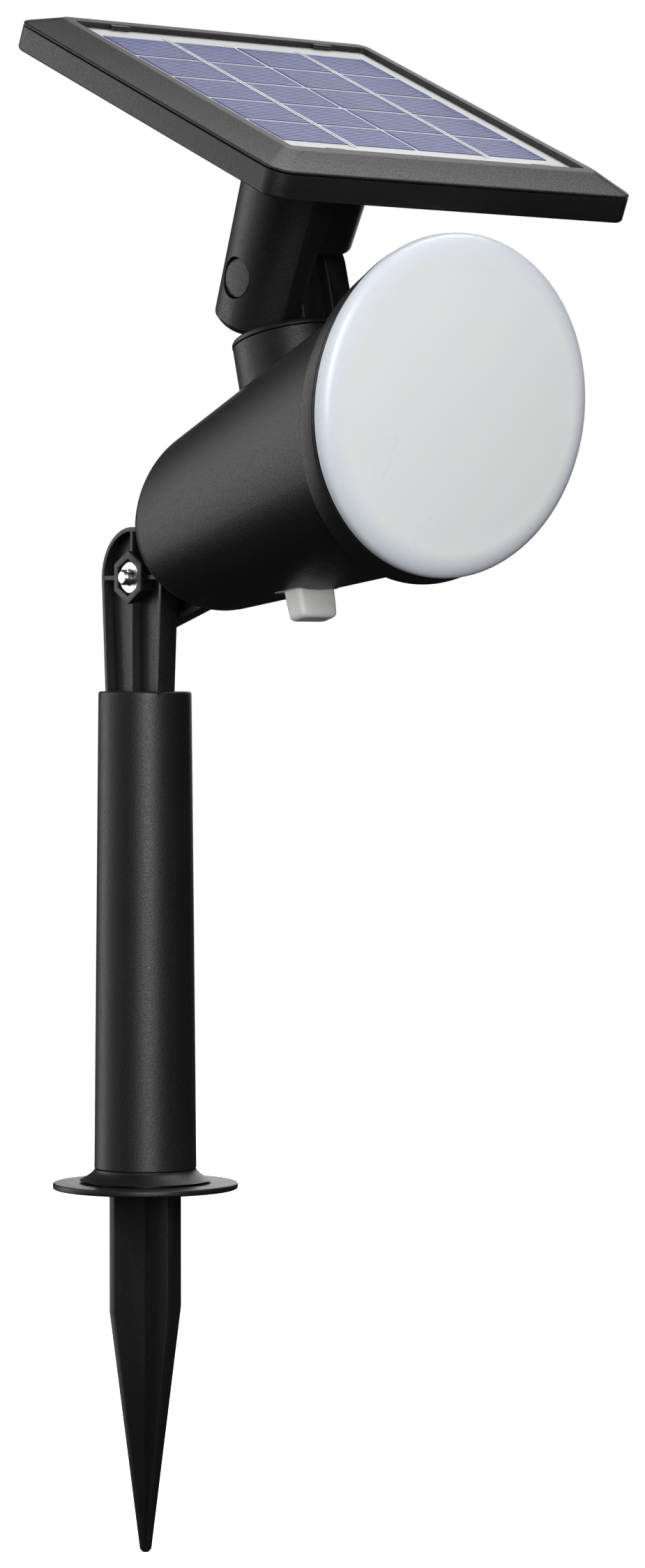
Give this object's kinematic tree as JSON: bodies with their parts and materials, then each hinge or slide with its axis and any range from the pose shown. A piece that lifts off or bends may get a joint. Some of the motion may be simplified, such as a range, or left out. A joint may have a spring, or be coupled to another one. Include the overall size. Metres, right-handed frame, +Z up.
{
  "type": "solar garden light",
  "caption": "Stake-mounted solar garden light: tilting lamp head with a round opal diffuser, and a framed solar panel on a swivelling, tilting neck.",
  "frame": {"origin": "on the stake axis at the underside of the spike's flange, where it meets the ground", "axes": "+Z up along the stake axis, the lamp looks along -Y, hinge axes parallel to X"},
  "size_m": [0.1106, 0.1533, 0.3869],
  "materials": {
    "battery_cell": "shrink wrap",
    "battery_cradle": "moulded",
    "board_screw_left": "zinc plated",
    "board_screw_right": "zinc plated",
    "board_screw_top": "zinc plated",
    "boost_inductor": "ferrite",
    "bus_ribbon_1": "tinned",
    "bus_ribbon_2": "tinned",
    "charge_controller": "moulded",
    "control_board": "green solder mask",
    "diffuser_lens": "opal satin",
    "ground_spike": "fine grain",
    "hinge_bolt": "zinc plated",
    "hinge_cap": "fine grain",
    "hinge_nut": "zinc plated",
    "hinge_washer": "zinc plated",
    "junction_terminal": "potted",
    "lamp_housing": "fine grain",
    "led_board": "white solder mask",
    "led_carrier": "moulded",
    "led_chip_1": "phosphor",
    "led_chip_2": "phosphor",
    "led_chip_3": "phosphor",
    "led_chip_4": "phosphor",
    "led_chip_5": "phosphor",
    "led_chip_6": "phosphor",
    "led_chip_7": "phosphor",
    "led_chip_8": "phosphor",
    "lens_gasket": "soft",
    "light_reflector": "white",
    "panel_bezel": "fine grain",
    "panel_connector": "moulded",
    "panel_lead": "flexible sheath",
    "panel_tray": "fine grain",
    "pivot_bolt": "zinc plated",
    "pivot_nut": "zinc plated",
    "pivot_washer": "zinc plated",
    "pole": "fine grain",
    "solar_backsheet": "white under clear resin",
    "solar_cell_1": "blue silicon under clear resin",
    "solar_cell_10": "blue silicon under clear resin",
    "solar_cell_2": "blue silicon under clear resin",
    "solar_cell_3": "blue silicon under clear resin",
    "solar_cell_4": "blue silicon under clear resin",
    "solar_cell_5": "blue silicon under clear resin",
    "solar_cell_6": "blue silicon under clear resin",
    "solar_cell_7": "blue silicon under clear resin",
    "solar_cell_8": "blue silicon under clear resin",
    "solar_cell_9": "blue silicon under clear resin",
    "switch_button": "translucent silicone",
    "switch_seal": "translucent silicone",
    "tact_switch": "moulded",
    "turret": "fine grain",
    "turret_oring": "soft",
    "turret_retainer": "plated"
  },
  "bodies": {
    "stake": {"ground_spike": "ground_spike", "pole": "pole", "pivot_bolt": "pivot_bolt", "pivot_nut": "pivot_nut", "pivot_washer": "pivot_washer"},
    "lamp_head": {"battery_cell": "battery_cell", "battery_cradle": "battery_cradle", "board_screw_left": "board_screw_left", "board_screw_right": "board_screw_right", "board_screw_top": "board_screw_top", "boost_inductor": "boost_inductor", "charge_controller": "charge_controller", "control_board": "control_board", "diffuser_lens": "diffuser_lens", "lamp_housing": "lamp_housing", "led_board": "led_board", "led_carrier": "led_carrier", "led_chip_1": "led_chip_1", "led_chip_2": "led_chip_2", "led_chip_3": "led_chip_3", "led_chip_4": "led_chip_4", "led_chip_5": "led_chip_5", "led_chip_6": "led_chip_6", "led_chip_7": "led_chip_7", "led_chip_8": "led_chip_8", "lens_gasket": "lens_gasket", "light_reflector": "light_reflector", "panel_connector": "panel_connector", "switch_seal": "switch_seal", "tact_switch": "tact_switch", "turret_oring": "turret_oring"},
    "switch": {"switch_button": "switch_button"},
    "turret_body": {"turret": "turret", "turret_retainer": "turret_retainer"},
    "panel": {"bus_ribbon_1": "bus_ribbon_1", "bus_ribbon_2": "bus_ribbon_2", "hinge_bolt": "hinge_bolt", "hinge_cap": "hinge_cap", "hinge_nut": "hinge_nut", "hinge_washer": "hinge_washer", "junction_terminal": "junction_terminal", "panel_bezel": "panel_bezel", "panel_lead": "panel_lead", "panel_tray": "panel_tray", "solar_backsheet": "solar_backsheet", "solar_cell_1": "solar_cell_1", "solar_cell_10": "solar_cell_10", "solar_cell_2": "solar_cell_2", "solar_cell_3": "solar_cell_3", "solar_cell_4": "solar_cell_4", "solar_cell_5": "solar_cell_5", "solar_cell_6": "solar_cell_6", "solar_cell_7": "solar_cell_7", "solar_cell_8": "solar_cell_8", "solar_cell_9": "solar_cell_9"}
  },
  "joints": [
    {"name": "head_tilt", "type": "hinge", "parent": "stake", "child": "lamp_head", "pos_m": [0, 0, 0.1566], "axis": [1, 0, 0], "range_deg": [-45, 35]},
    {"name": "switch_press", "type": "slide", "parent": "lamp_head", "child": "switch", "axis": [0, 0.2588, 0.9659], "range_m": [0, 0.0015], "stiffness_N_per_m": 300},
    {"name": "panel_swivel", "type": "hinge", "parent": "lamp_head", "child": "turret_body", "pos_m": [0, -0.06144, 0.21392], "axis": [0, 0.2554, 0.9668], "range_deg": [-165, 165]},
    {"name": "panel_tilt", "type": "hinge", "parent": "turret_body", "child": "panel", "pos_m": [0, -0.0574, 0.2292], "axis": [1, 0, 0], "range_deg": [-75, 3]}
  ]
}
